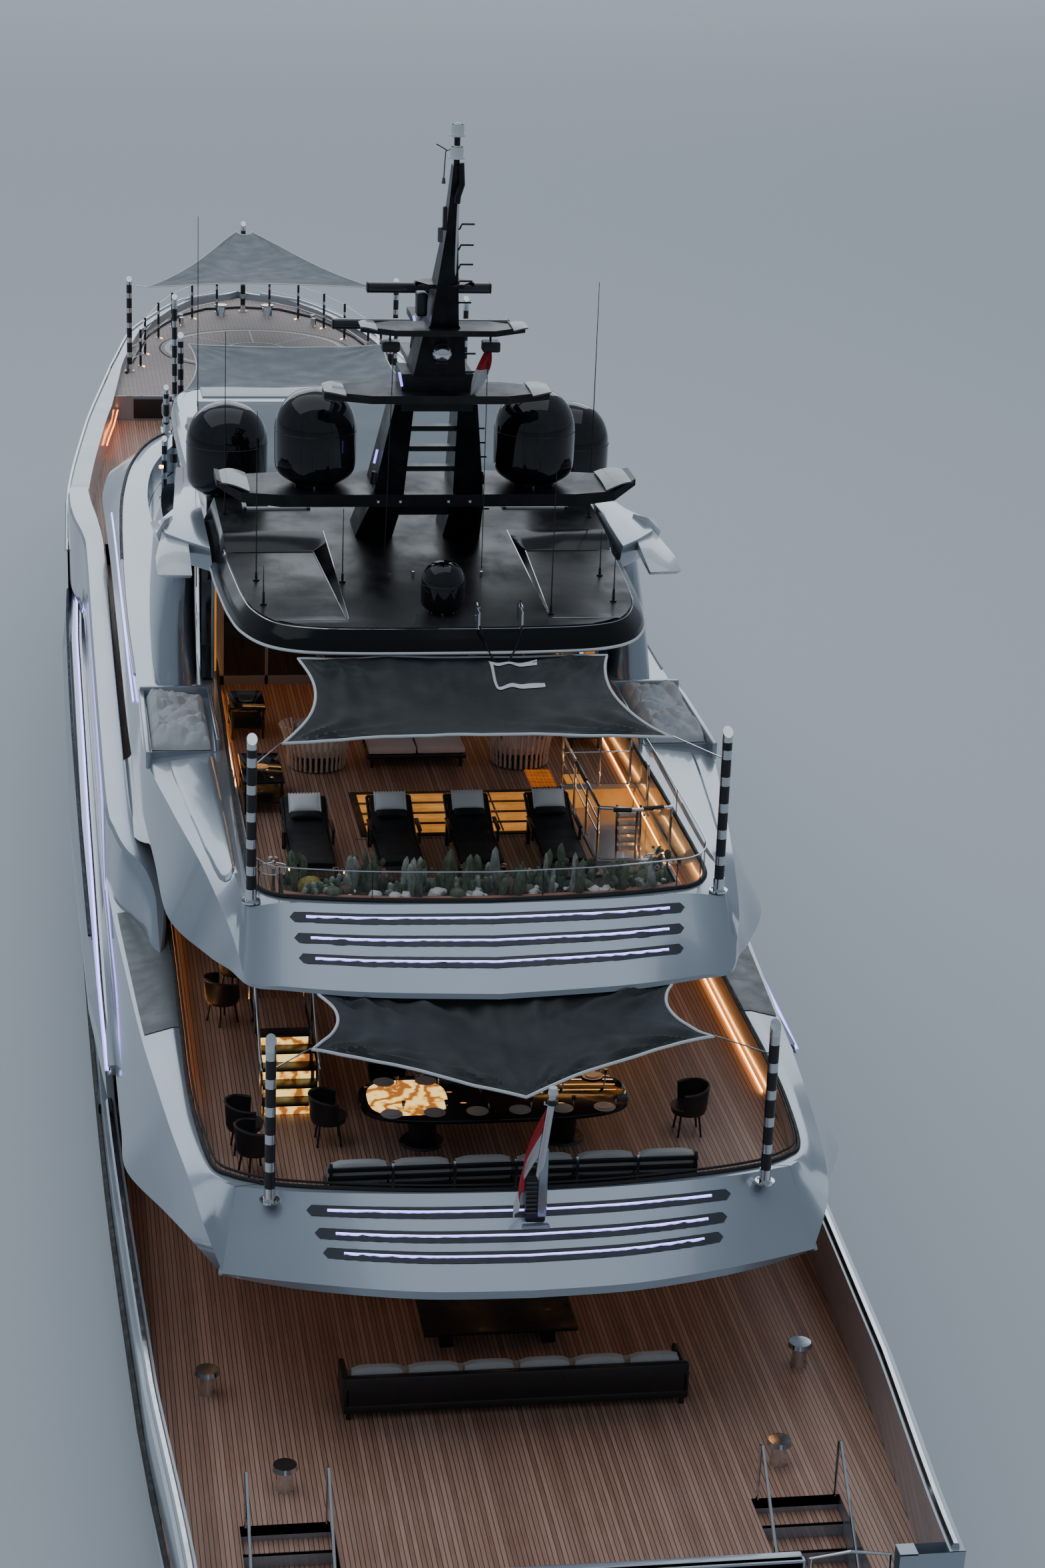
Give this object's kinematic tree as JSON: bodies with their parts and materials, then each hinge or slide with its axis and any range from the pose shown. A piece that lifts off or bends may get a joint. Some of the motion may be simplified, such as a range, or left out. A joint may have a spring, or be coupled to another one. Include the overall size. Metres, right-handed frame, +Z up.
{
  "type": "half-scale model of a motor yacht",
  "caption": "Half-scale motor yacht with stepped open decks, a gloss black hardtop and mast, radar domes, shade sails, a round bow deck, turning screws, rudders, scanners and sliding doors.",
  "frame": {"origin": "on the centreline at the waterline, amidships", "axes": "+X to starboard, +Y towards the bow, +Z up"},
  "size_m": [6.25, 34.95, 11.83],
  "materials": {
    "hull_paint": "silver metallic topsides over a dark bottom paint",
    "silver_paint": "silver metallic clear-coated paint",
    "engine_paint": "grey engine enamel",
    "bronze": "polished nickel-aluminium bronze",
    "bottom_paint": "matt antifouling paint",
    "teak": "oiled teak planks with black seams",
    "dark_glass": "tinted toughened glass",
    "black_gloss": "gloss black clear-coated paint",
    "scanner_white": "off-white moulded radome plastic",
    "pole_black": "black carbon poles with polished bands",
    "sail_cloth": "mid grey-blue woven shade cloth",
    "awning_cloth": "dark grey woven shade cloth with white piping",
    "lounger_fabric": "black outdoor fabric",
    "sofa_wood": "varnished slatted wood with pink-beige cushions",
    "table_black": "satin black with an amber glass top",
    "steel": "polished stainless steel"
  },
  "bodies": {
    "root": {"hull": "hull_paint", "engines": "engine_paint", "starboard_shaft_bracket": "bronze", "port_shaft_bracket": "bronze", "swim_platform": "teak", "main_deck": "teak", "quarter_bulwark": "silver_paint", "main_house": "silver_paint", "main_glass": "dark_glass", "starboard_side_flange": "silver_paint", "port_side_flange": "silver_paint", "upper_deck": "silver_paint", "starboard_side_bulwark": "silver_paint", "port_side_bulwark": "silver_paint", "upper_house": "silver_paint", "upper_glass": "dark_glass", "bridge_deck": "silver_paint", "bridge_aft_deck": "silver_paint", "bridge_house": "silver_paint", "bridge_glass": "dark_glass", "roof": "silver_paint", "hardtop": "black_gloss", "starboard_roof_fairing": "silver_paint", "port_roof_fairing": "silver_paint", "mast_frame": "black_gloss", "mast_tower": "black_gloss", "starboard_inner_dome": "black_gloss", "port_inner_dome": "black_gloss", "starboard_outer_dome": "black_gloss", "port_outer_dome": "black_gloss", "small_dome": "black_gloss", "foredeck": "teak", "bow_bulwark": "silver_paint", "helideck_posts": "pole_black", "foredeck_poles": "pole_black", "bow_sail": "sail_cloth", "foredeck_sail": "sail_cloth", "bridge_poles": "pole_black", "bridge_awning": "awning_cloth", "dining_poles": "pole_black", "dining_awning": "awning_cloth", "sun_loungers": "lounger_fabric", "planter": "teak", "bridge_sofa": "sofa_wood", "dining_table": "table_black", "dining_sofa": "lounger_fabric", "dining_stair": "teak", "flagstaff": "steel"},
    "starboard_propeller": {"starboard_propeller": "bronze"},
    "port_propeller": {"port_propeller": "bronze"},
    "starboard_rudder": {"starboard_rudder": "bottom_paint"},
    "port_rudder": {"port_rudder": "bottom_paint"},
    "transom_door": {"transom_door": "silver_paint"},
    "main_door": {"main_door": "dark_glass"},
    "starboard_upper_door": {"starboard_upper_door": "dark_glass"},
    "port_upper_door": {"port_upper_door": "dark_glass"},
    "starboard_bridge_door": {"starboard_bridge_door": "dark_glass"},
    "port_bridge_door": {"port_bridge_door": "dark_glass"},
    "lower_scanner": {"lower_scanner": "scanner_white"},
    "upper_scanner": {"upper_scanner": "black_gloss"}
  },
  "joints": [
    {"name": "starboard_propeller_spin", "type": "hinge", "parent": "root", "child": "starboard_propeller", "pos_m": [1.3, -14, -1.1], "axis": [0, 1, 0], "continuous": true},
    {"name": "port_propeller_spin", "type": "hinge", "parent": "root", "child": "port_propeller", "pos_m": [-1.3, -14, -1.1], "axis": [0, 1, 0], "continuous": true},
    {"name": "starboard_rudder_turn", "type": "hinge", "parent": "root", "child": "starboard_rudder", "pos_m": [1.3, -15.55, -0.55], "axis": [0, 0, 1], "range_deg": [-35, 35]},
    {"name": "port_rudder_turn", "type": "hinge", "parent": "root", "child": "port_rudder", "pos_m": [-1.3, -15.55, -0.55], "axis": [0, 0, 1], "range_deg": [-35, 35]},
    {"name": "transom_door_swing", "type": "hinge", "parent": "root", "child": "transom_door", "pos_m": [0, -17.06, 1.185], "axis": [-1, 0, 0], "range_deg": [0, 80]},
    {"name": "main_door_slide", "type": "slide", "parent": "root", "child": "main_door", "axis": [1, 0, 0], "range_m": [0, 1.6]},
    {"name": "starboard_upper_door_slide", "type": "slide", "parent": "root", "child": "starboard_upper_door", "axis": [1, 0, 0], "range_m": [0, 0.75]},
    {"name": "port_upper_door_slide", "type": "slide", "parent": "root", "child": "port_upper_door", "axis": [-1, 0, 0], "range_m": [0, 0.75]},
    {"name": "starboard_bridge_door_slide", "type": "slide", "parent": "root", "child": "starboard_bridge_door", "axis": [1, 0, 0], "range_m": [0, 0.65]},
    {"name": "port_bridge_door_slide", "type": "slide", "parent": "root", "child": "port_bridge_door", "axis": [-1, 0, 0], "range_m": [0, 0.65]},
    {"name": "lower_scanner_spin", "type": "hinge", "parent": "root", "child": "lower_scanner", "pos_m": [0, -6.975, 8.125], "axis": [0, 0, 1], "continuous": true},
    {"name": "upper_scanner_spin", "type": "hinge", "parent": "root", "child": "upper_scanner", "pos_m": [0, -7.45, 8.545], "axis": [0, 0, 1], "continuous": true}
  ]
}
